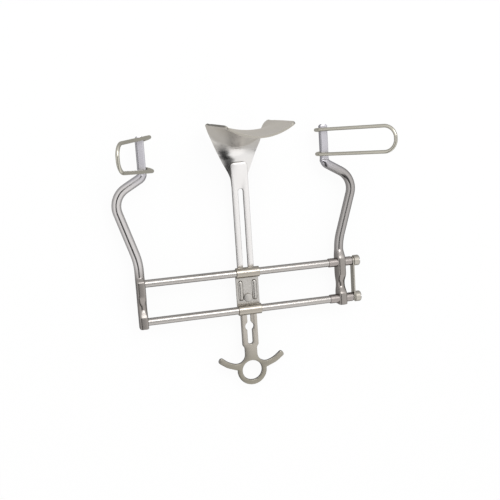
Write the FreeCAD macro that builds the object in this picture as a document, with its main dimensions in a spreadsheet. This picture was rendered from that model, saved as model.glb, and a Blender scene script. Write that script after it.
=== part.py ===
import FreeCAD, Part
import math
import os
import Sketcher

# Self retaining abdominal retractor, open as for display.
# Two parallel rods carry a fixed arm, a sliding arm and, between them, a clamp slide.
# The arms hold wire side blades, and the slide holds the shaft of a saddle shaped centre blade.
# Millimetres. X runs along the rods from the fixed arm to the sliding arm, Y runs up the arms
# towards the blades, and Z points to the patient's side, where all three blades reach.
# The origin is the middle of the fixed arm's flat foot.

doc = FreeCAD.newDocument("retractor")
sheet = doc.addObject("Spreadsheet::Sheet", "sizes")


# Measures: a number that remembers the sheet expression that gives it.

class Measure:
    """A value together with its expression, so one formula serves both."""

    def __init__(self, number, text):
        self.number = number
        self.text = text

    def __add__(self, other):
        other = measure(other)
        return Measure(self.number + other.number, f"({self.text} + {other.text})")

    def __sub__(self, other):
        other = measure(other)
        return Measure(self.number - other.number, f"({self.text} - {other.text})")

    def __mul__(self, other):
        other = measure(other)
        return Measure(self.number * other.number, f"({self.text} * {other.text})")

    def __truediv__(self, other):
        other = measure(other)
        return Measure(self.number / other.number, f"({self.text} / {other.text})")

    def __radd__(self, other):
        return measure(other) + self

    def __rsub__(self, other):
        return measure(other) - self

    def __rmul__(self, other):
        return measure(other) * self

    def __neg__(self):
        return measure(-1) * self


def measure(value):
    """A plain number as a measure; a measure stays as it is."""
    if isinstance(value, Measure):
        return value
    return Measure(float(value), f"({float(value)})")


def sine(angle):
    """Sine of an angle in degrees."""
    angle = measure(angle)
    return Measure(math.sin(math.radians(angle.number)), f"sin({angle.text} * 1 deg)")


def cosine(angle):
    """Cosine of an angle in degrees."""
    angle = measure(angle)
    return Measure(math.cos(math.radians(angle.number)), f"cos({angle.text} * 1 deg)")


sheet_row = 0


def size(name, number):
    """Write one driving size in the sheet and hand it back as a measure."""
    global sheet_row
    sheet_row += 1
    sheet.set(f"A{sheet_row}", name)
    sheet.set(f"B{sheet_row}", str(number))
    sheet.setAlias(f"B{sheet_row}", name)
    return Measure(float(number), f"sizes.{name}")


# Rods, and where they lie on the arms.
rod_diameter = size("rod_diameter", 7.0)
rod_spacing = size("rod_spacing", 35.0)
foot_to_lower_rod = size("foot_to_lower_rod", 5.9)
rod_seat_depth = size("rod_seat_depth", 7.0)
lower_rod_y = foot_to_lower_rod
upper_rod_y = foot_to_lower_rod + rod_spacing

# Arms: a round bar bent in one plane, flat bosses where the rods cross, a flat tongue at the top.
arm_opening = size("arm_opening", 190.0)
arm_diameter = size("arm_diameter", 8.5)
arm_set_back = size("arm_set_back", 3.0)
first_bend_height = size("first_bend_height", 60.2)
first_bend_radius = size("first_bend_radius", 55.0)
elbow_reach = size("elbow_reach", 18.3)
elbow_rise = size("elbow_rise", 59.0)
elbow_radius = size("elbow_radius", 18.5)
tongue_inset = size("tongue_inset", 10.0)
top_bend_rise = size("top_bend_rise", 16.3)
top_bend_radius = size("top_bend_radius", 6.0)
tongue_rise = size("tongue_rise", 3.4)
tongue_length = size("tongue_length", 32.0)
tongue_width = size("tongue_width", 7.2)
tongue_thickness = size("tongue_thickness", 5.6)
tongue_corner = size("tongue_corner", 1.4)
boss_width = size("boss_width", 8.0)
boss_wall = size("boss_wall", 0.9)
foot_boss_height = size("foot_boss_height", 11.5)
rod_boss_height = size("rod_boss_height", 16.6)
rod_boss_rise = size("rod_boss_rise", 5.4)
boss_bevel = size("boss_bevel", 2.4)
sleeve_block_width = size("sleeve_block_width", 8.6)
sleeve_block_depth = size("sleeve_block_depth", 9.8)
sleeve_block_corner = size("sleeve_block_corner", 2.4)

# Sleeves through the sliding arm, the bar across the rod ends and its two screws.
running_gap = size("running_gap", 0.06)
sleeve_diameter = size("sleeve_diameter", 8.5)
sleeve_inner_reach = size("sleeve_inner_reach", 12.4)
sleeve_outer_reach = size("sleeve_outer_reach", 10.6)
stop_gap = size("stop_gap", 0.6)
end_bar_thickness = size("end_bar_thickness", 1.6)
end_bar_width = size("end_bar_width", 7.6)
screw_head_diameter = size("screw_head_diameter", 10.0)
screw_head_rim = size("screw_head_rim", 4.4)
screw_head_dome = size("screw_head_dome", 2.0)
screw_shank_diameter = size("screw_shank_diameter", 4.0)
screw_shank_length = size("screw_shank_length", 11.0)
screw_slot_width = size("screw_slot_width", 1.2)
screw_slot_depth = size("screw_slot_depth", 1.3)
fixed_gap = size("fixed_gap", 0.05)

# Slide on the rods: a pressed plate with its two edges rolled round the rods.
slide_x = size("slide_x", 98.5)
plate_width = size("plate_width", 22.0)
plate_thickness = size("plate_thickness", 1.3)
roll_slit = size("roll_slit", 0.7)
bead_offset = size("bead_offset", 6.6)
bead_width = size("bead_width", 4.4)
bead_length = size("bead_length", 19.0)
bead_height = size("bead_height", 0.9)
bolt_drop = size("bolt_drop", 6.8)
bolt_diameter = size("bolt_diameter", 4.6)
bolt_head_diameter = size("bolt_head_diameter", 7.8)
bolt_head_height = size("bolt_head_height", 1.9)
bolt_tail = size("bolt_tail", 1.6)

# Wing nut on the surgeon's side.
nut_hub_diameter = size("nut_hub_diameter", 7.6)
nut_hub_height = size("nut_hub_height", 5.6)
nut_span = size("nut_span", 24.0)
nut_wing_thickness = size("nut_wing_thickness", 2.4)
nut_wing_height = size("nut_wing_height", 9.6)
nut_gap = size("nut_gap", 0.1)

# Shaft of the centre blade, with its slot, keyhole, finger ring and horns.
shaft_width = size("shaft_width", 15.5)
shaft_thickness = size("shaft_thickness", 3.0)
shaft_top = size("shaft_top", 141.9)
shaft_gap = size("shaft_gap", 0.1)
shaft_end_corner = size("shaft_end_corner", 3.2)
shoulder_y = size("shoulder_y", -29.5)
handle_neck_width = size("handle_neck_width", 11.8)
slot_width = size("slot_width", 4.8)
slot_top = size("slot_top", 117.9)
slot_bottom = size("slot_bottom", -28.9)
keyhole_y = size("keyhole_y", -11.7)
keyhole_diameter = size("keyhole_diameter", 8.3)
ring_y = size("ring_y", -54.4)
ring_outer_diameter = size("ring_outer_diameter", 28.2)
ring_inner_diameter = size("ring_inner_diameter", 19.0)
horn_reach = size("horn_reach", 31.8)
horn_tip_y = size("horn_tip_y", -40.8)
horn_bend_reach = size("horn_bend_reach", 22.8)
horn_bend_y = size("horn_bend_y", -47.0)
horn_root_y = size("horn_root_y", -52.5)
horn_width = size("horn_width", 4.7)
horn_bend_radius = size("horn_bend_radius", 22.0)
handle_web_radius = size("handle_web_radius", 8.2)

# Saddle of the centre blade: a sheet that bends forward above the shaft and arches to its lip.
# Its wings' upper edges are straight in side view, while its middle line is an arc.
saddle_thickness = size("saddle_thickness", 1.8)
neck_lap = size("neck_lap", 21.8)
neck_seat_gap = size("neck_seat_gap", 0.16)
neck_width = size("neck_width", 14.6)
neck_bend_radius = size("neck_bend_radius", 18.0)
neck_bend_angle = size("neck_bend_angle", 60.0)
arch_radius = size("arch_radius", 90.0)
arch_end_angle = size("arch_end_angle", 111.0)
saddle_width = size("saddle_width", 58.8)
wing_edge_y = size("wing_edge_y", 177.5)
wing_edge_fall = size("wing_edge_fall", 0.04)
lip_corner = size("lip_corner", 3.5)
lip_bulge = size("lip_bulge", 1.4)
lip_setback = size("lip_setback", 1.6)

# Wire side blades, hooked round the tongues.
wire_diameter = size("wire_diameter", 3.2)
blade_reach = size("blade_reach", 72.5)
blade_tip_width = size("blade_tip_width", 22.8)
nose_radius = size("nose_radius", 10.8)
hook_tail = size("hook_tail", 3.0)
left_splay = size("left_splay", 28.0)
right_splay = size("right_splay", 45.0)
left_hook_spread = size("left_hook_spread", 29.8)
right_hook_spread = size("right_hook_spread", 22.6)
left_hook_radius = size("left_hook_radius", 8.1)
right_hook_radius = size("right_hook_radius", 6.6)
left_hook_tilt = size("left_hook_tilt", 14.0)
right_hook_tilt = size("right_hook_tilt", 4.0)
hook_clearance = size("hook_clearance", 0.25)

doc.recompute()


# Helpers for bodies, sketches and features.

def new_body(label):
    """An empty body with its own label."""
    body = doc.addObject("PartDesign::Body", label)
    body.Label = label
    return body


def place(body, x=0, y=0, z=0, turn=None):
    """Put a body at a bound place, its X axis raised towards Z by a turn if one is given."""
    if turn is not None:
        turned = FreeCAD.Rotation(FreeCAD.Vector(0, -1, 0), 10)
        body.Placement = FreeCAD.Placement(FreeCAD.Vector(0, 0, 0), turned)
        body.setExpression("Placement.Rotation.Angle", measure(turn).text)
    for axis, value in zip("xyz", (x, y, z)):
        body.setExpression(f"Placement.Base.{axis}", measure(value).text)


def sketch_on(body, role, name, shift=(0, 0, 0), tilt=None, tilt_sign=1):
    """A sketch on one of the body's own planes, shifted, and tilted about its first axis."""
    sketch = body.newObject("Sketcher::SketchObject", name)
    planes = [feature for feature in body.Origin.OriginFeatures if feature.Role == role]
    sketch.AttachmentSupport = [(planes[0], "")]
    sketch.MapMode = "FlatFace"
    if tilt is not None:
        tilted = FreeCAD.Rotation(FreeCAD.Vector(tilt_sign, 0, 0), 10)
        sketch.AttachmentOffset = FreeCAD.Placement(FreeCAD.Vector(0, 0, 0), tilted)
        sketch.setExpression("AttachmentOffset.Rotation.Angle", measure(tilt).text)
    for axis, value in zip("xyz", shift):
        sketch.setExpression(f"AttachmentOffset.Base.{axis}", measure(value).text)
    return sketch


def bind(sketch, constraint, value):
    """Add a dimension and tie it to its expression."""
    index = sketch.addConstraint(constraint)
    sketch.setExpression(f"Constraints[{index}]", value.text)


def pin_point(sketch, shape, end, x, y):
    """Fix one point of a shape at a bound place from the sketch's origin."""
    x, y = measure(x), measure(y)
    bind(sketch, Sketcher.Constraint("DistanceX", -1, 1, shape, end, x.number), x)
    bind(sketch, Sketcher.Constraint("DistanceY", -1, 1, shape, end, y.number), y)


def circle(sketch, x, y, radius):
    """A circle with bound centre and radius."""
    x, y, radius = measure(x), measure(y), measure(radius)
    centre = FreeCAD.Vector(x.number, y.number, 0)
    shape = sketch.addGeometry(Part.Circle(centre, FreeCAD.Vector(0, 0, 1), radius.number))
    bind(sketch, Sketcher.Constraint("Radius", shape, radius.number), radius)
    pin_point(sketch, shape, 3, x, y)


def polygon(sketch, corners):
    """A closed outline of straight sides through bound corners."""
    rounded(sketch, [(x, y, 0) for x, y in corners], closed=True)


def rectangle(sketch, low_x, low_y, high_x, high_y):
    """A rectangle between two bound corners."""
    polygon(sketch, [(low_x, low_y), (high_x, low_y), (high_x, high_y), (low_x, high_y)])


def bend_arc(before, corner, after, radius):
    """Both tangent points and the middle point of the arc that rounds one corner."""
    first = (before - corner).normalize()
    second = (after - corner).normalize()
    half = math.acos(max(-1.0, min(1.0, first.dot(second)))) / 2
    reach = radius / math.tan(half)
    axis = (first + second).normalize()
    middle = corner + axis * (radius / math.sin(half) - radius)
    return corner + first * reach, middle, corner + second * reach


def rounded(sketch, corners, closed):
    """Straight sides with bound corners (x, y, radius); a corner of no radius stays sharp."""
    corners = [tuple(measure(part) for part in corner) for corner in corners]
    points = [FreeCAD.Vector(x.number, y.number, 0) for x, y, radius in corners]
    count = len(corners)
    inner = range(count) if closed else range(1, count - 1)
    bends = [i for i in inner if corners[i][2].number > 0]
    arcs = {i: bend_arc(points[i - 1], points[i], points[(i + 1) % count], corners[i][2].number) for i in bends}
    sides = []
    for i in range(count if closed else count - 1):
        start = arcs[i][2] if i in arcs else points[i]
        following = (i + 1) % count
        end = arcs[following][0] if following in arcs else points[following]
        sides.append(sketch.addGeometry(Part.LineSegment(start, end)))
    for i in inner:
        x, y, radius = corners[i]
        before, after = sides[i - 1], sides[i % len(sides)]
        if i not in arcs:
            sketch.addConstraint(Sketcher.Constraint("Coincident", before, 2, after, 1))
            pin_point(sketch, after, 1, x, y)
            continue
        arc = sketch.addGeometry(Part.Arc(*arcs[i]))
        turn = (points[i] - points[i - 1]).cross(points[(i + 1) % count] - points[i]).z
        first_end, last_end = (1, 2) if turn > 0 else (2, 1)
        sketch.addConstraint(Sketcher.Constraint("Tangent", before, 2, arc, first_end))
        sketch.addConstraint(Sketcher.Constraint("Tangent", arc, last_end, after, 1))
        bind(sketch, Sketcher.Constraint("Radius", arc, radius.number), radius)
        corner = sketch.addGeometry(Part.Point(points[i]), True)
        sketch.addConstraint(Sketcher.Constraint("PointOnObject", corner, 1, before))
        sketch.addConstraint(Sketcher.Constraint("PointOnObject", corner, 1, after))
        pin_point(sketch, corner, 1, x, y)
    if not closed:
        pin_point(sketch, sides[0], 1, corners[0][0], corners[0][1])
        pin_point(sketch, sides[-1], 2, corners[-1][0], corners[-1][1])


def long_slot(sketch, x, low_y, high_y, width):
    """A slot along Y with round ends; low_y and high_y are its outermost points."""
    x, low_y, high_y, width = measure(x), measure(low_y), measure(high_y), measure(width)
    half = width / 2
    low, high = low_y + half, high_y - half
    left, right = (x - half).number, (x + half).number
    up = FreeCAD.Vector(0, 0, 1)
    top_circle = Part.Circle(FreeCAD.Vector(x.number, high.number, 0), up, half.number)
    low_circle = Part.Circle(FreeCAD.Vector(x.number, low.number, 0), up, half.number)
    top = sketch.addGeometry(Part.ArcOfCircle(top_circle, 0, math.pi))
    bottom = sketch.addGeometry(Part.ArcOfCircle(low_circle, math.pi, 2 * math.pi))
    ends = [(left, high.number, low.number), (right, low.number, high.number)]
    sides = [sketch.addGeometry(Part.LineSegment(FreeCAD.Vector(edge, start, 0), FreeCAD.Vector(edge, end, 0)))
             for edge, start, end in ends]
    sketch.addConstraint(Sketcher.Constraint("Tangent", top, 2, sides[0], 1))
    sketch.addConstraint(Sketcher.Constraint("Tangent", sides[0], 2, bottom, 1))
    sketch.addConstraint(Sketcher.Constraint("Tangent", bottom, 2, sides[1], 1))
    sketch.addConstraint(Sketcher.Constraint("Tangent", sides[1], 2, top, 1))
    bind(sketch, Sketcher.Constraint("Radius", top, half.number), half)
    pin_point(sketch, top, 3, x, high)
    bind(sketch, Sketcher.Constraint("DistanceY", -1, 1, bottom, 3, low.number), low)


def add_feature(body, kind, name, profile, length=None, reverse=False):
    """A Pad or Pocket of a sketch, by a bound length or right through."""
    feature = body.newObject(f"PartDesign::{kind}", name)
    feature.Profile = profile
    feature.Reversed = reverse
    if length is None:
        feature.Type = "ThroughAll"
        feature.Midplane = True
    else:
        feature.setExpression("Length", measure(length).text)
    body.Tip = feature
    doc.recompute()
    return feature


def pad(body, name, profile, length, reverse=False):
    """Thicken a sketch along its normal."""
    return add_feature(body, "Pad", name, profile, length, reverse)


def pocket(body, name, profile, length=None, reverse=False):
    """Cut a sketch out of the body, and make sure that something was cut."""
    before = body.Shape.Volume
    feature = add_feature(body, "Pocket", name, profile, length, reverse)
    if body.Shape.Volume >= before - 1e-6:
        raise RuntimeError(f"{body.Label}: {name} cuts nothing")
    return feature


def pipe(body, name, profile, path):
    """Carry a profile along a path."""
    feature = body.newObject("PartDesign::AdditivePipe", name)
    feature.Profile = profile
    feature.Spine = (path, [])
    body.Tip = feature
    doc.recompute()
    return feature


def revolve(body, name, profile, axis):
    """Turn a sketch all the way round one of its own axes."""
    feature = body.newObject("PartDesign::Revolution", name)
    feature.Profile = profile
    feature.ReferenceAxis = (profile, [axis])
    feature.Angle = 360
    body.Tip = feature
    doc.recompute()
    return feature


def edges_where(body, test):
    """Names of the body's edges that pass a test."""
    return [f"Edge{i}" for i, edge in enumerate(body.Tip.Shape.Edges, 1) if test(edge)]


def soften(body, kind, name, value, test):
    """A Fillet or Chamfer of a bound size on the edges that pass a test."""
    base = body.Tip
    names = edges_where(body, test)
    feature = body.newObject(f"PartDesign::{kind}", name)
    feature.Base = (base, names)
    feature.setExpression("Radius" if kind == "Fillet" else "Size", measure(value).text)
    body.Tip = feature
    doc.recompute()
    return feature


# Arms. Both have the same bends, mirrored; outward is -1 for the fixed arm, 1 for the sliding arm.

elbow_height = first_bend_height + elbow_rise
top_bend_height = elbow_height + top_bend_rise
tongue_start = top_bend_height + tongue_rise
tongue_end = tongue_start + tongue_length
tongue_middle = tongue_start + tongue_length / 2
boss_top = upper_rod_y + rod_boss_rise
boss_bottom = boss_top - rod_boss_height


def arm_outline(label, outward):
    """The bent round bar with the flat tongue at its top."""
    body = new_body(label)
    path = sketch_on(body, "XY_Plane", f"{label}_path", (0, 0, -arm_set_back))
    rounded(path, [
        (0, 0, 0),
        (0, first_bend_height, first_bend_radius),
        (outward * elbow_reach, elbow_height, elbow_radius),
        (-outward * tongue_inset, top_bend_height, top_bend_radius),
        (-outward * tongue_inset, tongue_start + tongue_corner, 0),
    ], closed=False)
    section = sketch_on(body, "XZ_Plane", f"{label}_section")
    circle(section, 0, -arm_set_back, arm_diameter / 2)
    pipe(body, f"{label}_bar", section, path)

    tongue = sketch_on(body, "XY_Plane", f"{label}_tongue", (0, 0, -arm_set_back - tongue_thickness / 2))
    left = -outward * tongue_inset - tongue_width / 2
    right = left + tongue_width
    polygon(tongue, [
        (left, tongue_start), (right, tongue_start), (right, tongue_end - tongue_corner),
        (right - tongue_corner, tongue_end), (left + tongue_corner, tongue_end),
        (left, tongue_end - tongue_corner),
    ])
    pad(body, f"{label}_tongue_bar", tongue, tongue_thickness)
    return body


# Fixed arm: two flat bosses stand forward from the bar, and the rods end in blind holes in them.
fixed_arm = arm_outline("fixed_arm", -1)
place(fixed_arm)
half_boss = boss_width / 2
boss_front = rod_diameter / 2 + boss_wall
foot_boss = sketch_on(fixed_arm, "XY_Plane", "fixed_arm_foot_boss", (0, 0, -arm_set_back))
polygon(foot_boss, [
    (-half_boss, 0), (half_boss, 0), (half_boss, foot_boss_height - boss_bevel / 2),
    (half_boss - boss_bevel / 2, foot_boss_height), (boss_bevel / 2 - half_boss, foot_boss_height),
    (-half_boss, foot_boss_height - boss_bevel / 2),
])
pad(fixed_arm, "fixed_arm_foot_block", foot_boss, arm_set_back + boss_front)
rod_boss = sketch_on(fixed_arm, "XY_Plane", "fixed_arm_rod_boss", (0, 0, -arm_set_back))
polygon(rod_boss, [
    (-half_boss, boss_bottom), (half_boss, boss_bottom), (half_boss, boss_top - boss_bevel),
    (half_boss - boss_bevel, boss_top), (boss_bevel - half_boss, boss_top), (-half_boss, boss_top - boss_bevel),
])
pad(fixed_arm, "fixed_arm_rod_block", rod_boss, arm_set_back + boss_front)
rod_start = arm_diameter / 2 - rod_seat_depth
seats = sketch_on(fixed_arm, "YZ_Plane", "fixed_arm_seats", (0, 0, rod_start))
circle(seats, lower_rod_y, 0, rod_diameter / 2)
circle(seats, upper_rod_y, 0, rod_diameter / 2)
pocket(fixed_arm, "fixed_arm_rod_seats", seats, rod_seat_depth + boss_width, reverse=True)

# Sliding arm: two thicker bosses with rounded long edges, and the sleeves pass through them.
sliding_arm = arm_outline("sliding_arm", 1)
place(sliding_arm, x=arm_opening)
half_block = sleeve_block_width / 2
block_front = sleeve_diameter / 2 + boss_wall
blocks = (
    ("foot", measure(0), foot_boss_height),
    ("rod", boss_bottom, rod_boss_height),
)
for name, bottom, height in blocks:
    block = sketch_on(sliding_arm, "XZ_Plane", f"sliding_arm_{name}_block", (0, 0, -bottom))
    rounded(block, [
        (-half_block, block_front - sleeve_block_depth, sleeve_block_corner),
        (half_block, block_front - sleeve_block_depth, sleeve_block_corner),
        (half_block, block_front, sleeve_block_corner), (-half_block, block_front, sleeve_block_corner),
    ], closed=True)
    pad(sliding_arm, f"sliding_arm_{name}_boss", block, height, reverse=True)
holes = sketch_on(sliding_arm, "YZ_Plane", "sliding_arm_holes")
circle(holes, lower_rod_y, 0, sleeve_diameter / 2)
circle(holes, upper_rod_y, 0, sleeve_diameter / 2)
pocket(sliding_arm, "sliding_arm_sleeve_holes", holes)

# Rods, from their seats in the fixed arm to the bar at the far end.
end_bar_x = arm_opening + sleeve_outer_reach + stop_gap
rod_length = end_bar_x - rod_start
for name, height in (("upper_rod", upper_rod_y), ("lower_rod", lower_rod_y)):
    rod = new_body(name)
    end = sketch_on(rod, "YZ_Plane", f"{name}_end")
    circle(end, 0, 0, rod_diameter / 2)
    pad(rod, f"{name}_bar", end, rod_length)
    tapping = sketch_on(rod, "YZ_Plane", f"{name}_tapping", (0, 0, rod_length))
    circle(tapping, 0, 0, screw_shank_diameter / 2 + fixed_gap)
    pocket(rod, f"{name}_tapped_hole", tapping, screw_shank_length)
    place(rod, x=rod_start, y=height)

# Sleeves, brazed into the sliding arm, running on the rods.
for name, height in (("upper_sleeve", upper_rod_y), ("lower_sleeve", lower_rod_y)):
    sleeve = new_body(name)
    ring = sketch_on(sleeve, "YZ_Plane", f"{name}_ring")
    circle(ring, 0, 0, sleeve_diameter / 2)
    circle(ring, 0, 0, rod_diameter / 2 + running_gap)
    pad(sleeve, f"{name}_tube", ring, sleeve_inner_reach + sleeve_outer_reach)
    place(sleeve, x=arm_opening - sleeve_inner_reach, y=height)

# End bar, a flat strip across the rod ends.
end_bar = new_body("end_bar")
strip = sketch_on(end_bar, "YZ_Plane", "end_bar_strip")
half_strip = end_bar_width / 2
end_corner = end_bar_width * 0.4
rounded(strip, [
    (lower_rod_y - half_strip, -half_strip, end_corner), (upper_rod_y + half_strip, -half_strip, end_corner),
    (upper_rod_y + half_strip, half_strip, end_corner), (lower_rod_y - half_strip, half_strip, end_corner),
], closed=True)
circle(strip, lower_rod_y, 0, screw_shank_diameter / 2 + fixed_gap)
circle(strip, upper_rod_y, 0, screw_shank_diameter / 2 + fixed_gap)
pad(end_bar, "end_bar_plate", strip, end_bar_thickness)
place(end_bar, x=end_bar_x)

# End screws: a round domed head with a slot, turned from bar.
for name, height in (("upper_end_screw", upper_rod_y), ("lower_end_screw", lower_rod_y)):
    screw = new_body(name)
    half_profile = sketch_on(screw, "XY_Plane", f"{name}_profile")
    head_radius = screw_head_diameter / 2
    shank_end = end_bar_thickness + screw_shank_length * 0.9
    crown = screw_head_rim + screw_head_dome
    polygon(half_profile, [
        (-shank_end, 0), (crown, 0), (crown, head_radius * 0.45), (crown - screw_head_dome * 0.35, head_radius * 0.75),
        (screw_head_rim, head_radius), (0, head_radius), (0, screw_shank_diameter / 2),
        (-shank_end, screw_shank_diameter / 2),
    ])
    revolve(screw, f"{name}_turned", half_profile, "H_Axis")
    groove = sketch_on(screw, "YZ_Plane", f"{name}_groove", (0, 0, crown))
    rectangle(groove, -head_radius, -screw_slot_width / 2, head_radius, screw_slot_width / 2)
    pocket(screw, f"{name}_slot", groove, screw_slot_depth)
    place(screw, x=end_bar_x + end_bar_thickness, y=height)

# Slide plate: flat web behind the rods, its edges rolled round them, with two pressed beads.
roll_inner = rod_diameter / 2 + running_gap
roll_outer = roll_inner + plate_thickness
plate_back = -roll_outer
plate_front = plate_back + plate_thickness
bolt_y = (lower_rod_y + upper_rod_y) / 2 - bolt_drop
slide_plate = new_body("slide_plate")
web = sketch_on(slide_plate, "YZ_Plane", "slide_plate_web")
rectangle(web, lower_rod_y, plate_back, upper_rod_y, plate_front)
pad(slide_plate, "slide_plate_web_sheet", web, plate_width)
for name, height in (("upper", upper_rod_y), ("lower", lower_rod_y)):
    roll = sketch_on(slide_plate, "YZ_Plane", f"slide_plate_{name}_roll")
    circle(roll, height, 0, roll_outer)
    pad(slide_plate, f"slide_plate_{name}_roll_sheet", roll, plate_width)
for name, height, inward in (("upper", upper_rod_y, -1), ("lower", lower_rod_y, 1)):
    bore = sketch_on(slide_plate, "YZ_Plane", f"slide_plate_{name}_bore")
    circle(bore, height, 0, roll_inner)
    pocket(slide_plate, f"slide_plate_{name}_rod_bore", bore, plate_width, reverse=True)
    slit = sketch_on(slide_plate, "YZ_Plane", f"slide_plate_{name}_slit")
    slit_low = plate_front + fixed_gap
    near = height + inward * (roll_inner * 0.4)
    far = height + inward * (roll_outer + roll_slit)
    rectangle(slit, near, slit_low, far, slit_low + roll_slit)
    pocket(slide_plate, f"slide_plate_{name}_seam", slit, plate_width, reverse=True)
web_middle = (lower_rod_y + upper_rod_y) / 2
for name, across in (("left", -1), ("right", 1)):
    bead = sketch_on(slide_plate, "XY_Plane", f"slide_plate_{name}_bead", (0, 0, plate_front))
    bead_x = plate_width / 2 + across * bead_offset
    long_slot(bead, bead_x, web_middle - bead_length / 2, web_middle + bead_length / 2, bead_width)
    pad(slide_plate, f"slide_plate_{name}_pressed_bead", bead, bead_height)
    hollow = sketch_on(slide_plate, "XY_Plane", f"slide_plate_{name}_hollow", (0, 0, plate_back))
    inset = plate_thickness * 0.6
    long_slot(hollow, bead_x, web_middle - bead_length / 2 + inset, web_middle + bead_length / 2 - inset,
              bead_width - inset * 2)
    pocket(slide_plate, f"slide_plate_{name}_bead_hollow", hollow, bead_height, reverse=True)
bolt_hole = sketch_on(slide_plate, "XY_Plane", "slide_plate_bolt_hole", (0, 0, plate_back))
circle(bolt_hole, plate_width / 2, bolt_y, bolt_diameter / 2 + fixed_gap)
pocket(slide_plate, "slide_plate_bolt_bore", bolt_hole, plate_thickness, reverse=True)
place(slide_plate, x=slide_x - plate_width / 2)

# Clamp bolt: flat round head in front of the plate, shank through the shaft's slot.
shaft_front = plate_back - shaft_gap
shaft_back = shaft_front - shaft_thickness
nut_front = shaft_back - nut_gap
bolt_end = nut_front - nut_hub_height - bolt_tail
clamp_bolt = new_body("clamp_bolt")
head = sketch_on(clamp_bolt, "XY_Plane", "clamp_bolt_head", (0, 0, plate_front))
circle(head, 0, 0, bolt_head_diameter / 2)
pad(clamp_bolt, "clamp_bolt_flat_head", head, bolt_head_height)
shank = sketch_on(clamp_bolt, "XY_Plane", "clamp_bolt_shank", (0, 0, bolt_end))
circle(shank, 0, 0, bolt_diameter / 2)
pad(clamp_bolt, "clamp_bolt_stem", shank, plate_front - bolt_end)
place(clamp_bolt, x=slide_x, y=bolt_y)

# Wing nut: a round hub and two thin raised wings that stand in line with the slot.
wing_nut = new_body("wing_nut")
wings = sketch_on(wing_nut, "YZ_Plane", "wing_nut_wings", (0, 0, -nut_wing_thickness / 2))
hub_half = nut_hub_diameter / 2
rounded(wings, [
    (-hub_half, -nut_hub_height * 0.42, 0), (hub_half, -nut_hub_height * 0.42, 0),
    (nut_span / 2 - 1.5, -nut_hub_height * 0.5, 3.0), (nut_span / 2, -nut_wing_height, 2.4),
    (nut_span / 2 - 5.6, -nut_wing_height, 2.0), (hub_half, -nut_hub_height * 0.7, 2.0),
    (-hub_half, -nut_hub_height * 0.7, 2.0), (5.6 - nut_span / 2, -nut_wing_height, 2.0),
    (-nut_span / 2, -nut_wing_height, 2.4), (1.5 - nut_span / 2, -nut_hub_height * 0.5, 3.0),
], closed=True)
pad(wing_nut, "wing_nut_wing_plate", wings, nut_wing_thickness)
hub = sketch_on(wing_nut, "XY_Plane", "wing_nut_hub")
circle(hub, 0, 0, hub_half)
pad(wing_nut, "wing_nut_round_hub", hub, nut_hub_height, reverse=True)
thread = sketch_on(wing_nut, "XY_Plane", "wing_nut_thread")
circle(thread, 0, 0, bolt_diameter / 2 + running_gap)
pocket(wing_nut, "wing_nut_threaded_hole", thread)
place(wing_nut, x=slide_x, y=bolt_y, z=nut_front)

# Blade shaft: one flat forging with slot, keyhole, finger ring and two horns.
blade_shaft = new_body("blade_shaft")
half_shaft = shaft_width / 2
half_neck = handle_neck_width / 2
outline = sketch_on(blade_shaft, "XY_Plane", "blade_shaft_outline", (0, 0, shaft_back))
half_horn = horn_width / 2
right_side = [
    (half_shaft, shaft_top, shaft_end_corner),
    (half_shaft, shoulder_y, 1.6),
    (half_neck, shoulder_y - 3.0, 2.4),
    (half_neck, horn_root_y + half_horn, handle_web_radius),
    (horn_bend_reach - half_horn * 0.4, horn_bend_y + half_horn, horn_bend_radius),
    (horn_reach - half_horn, horn_tip_y + half_horn, half_horn * 0.96),
    (horn_reach + half_horn * 0.35, horn_tip_y - half_horn, half_horn * 0.96),
    (horn_bend_reach + half_horn * 0.6, horn_bend_y - half_horn, horn_bend_radius),
    (half_neck, horn_root_y - half_horn, 2.0),
]
left_side = [(-x, y, radius) for x, y, radius in reversed(right_side)]
rounded(outline, right_side + left_side, closed=True)
pad(blade_shaft, "blade_shaft_strip", outline, shaft_thickness)
ring = sketch_on(blade_shaft, "XY_Plane", "blade_shaft_ring", (0, 0, shaft_back))
circle(ring, 0, ring_y, ring_outer_diameter / 2)
pad(blade_shaft, "blade_shaft_finger_ring", ring, shaft_thickness)
finger_hole = sketch_on(blade_shaft, "XY_Plane", "blade_shaft_finger_hole")
circle(finger_hole, 0, ring_y, ring_inner_diameter / 2)
pocket(blade_shaft, "blade_shaft_ring_hole", finger_hole)
keyway = sketch_on(blade_shaft, "XY_Plane", "blade_shaft_keyway")
long_slot(keyway, 0, slot_bottom, slot_top, slot_width)
pocket(blade_shaft, "blade_shaft_slot", keyway)
keyhole = sketch_on(blade_shaft, "XY_Plane", "blade_shaft_keyhole")
circle(keyhole, 0, keyhole_y, keyhole_diameter / 2)
pocket(blade_shaft, "blade_shaft_round_keyhole", keyhole)
place(blade_shaft, x=slide_x)

# Saddle blade: a sheet lofted through curved strips that stand across its bent centre line.
# Each strip is an arc: nearly flat on the neck, with a rise of its two ends further on.
saddle_blade = new_body("saddle_blade")
neck_z = shaft_back - neck_seat_gap - saddle_thickness / 2
neck_centre_z = neck_z + neck_bend_radius
arch_start_y = shaft_top + neck_bend_radius * sine(neck_bend_angle)
arch_start_z = neck_centre_z - neck_bend_radius * cosine(neck_bend_angle)
arch_centre_y = arch_start_y - arch_radius * sine(neck_bend_angle)
arch_centre_z = arch_start_z + arch_radius * cosine(neck_bend_angle)
full_half = saddle_width / 2
neck_half = neck_width / 2
flare = full_half - neck_half
arch_span = arch_end_angle - neck_bend_angle


def wing_rise(turn):
    """Rise of the strip's ends that brings them to the wings' straight upper edges."""
    reach = (wing_edge_y - wing_edge_fall * arch_centre_z - arch_centre_y) / (
        sine(turn) - wing_edge_fall * cosine(turn))
    return reach - arch_radius


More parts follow.
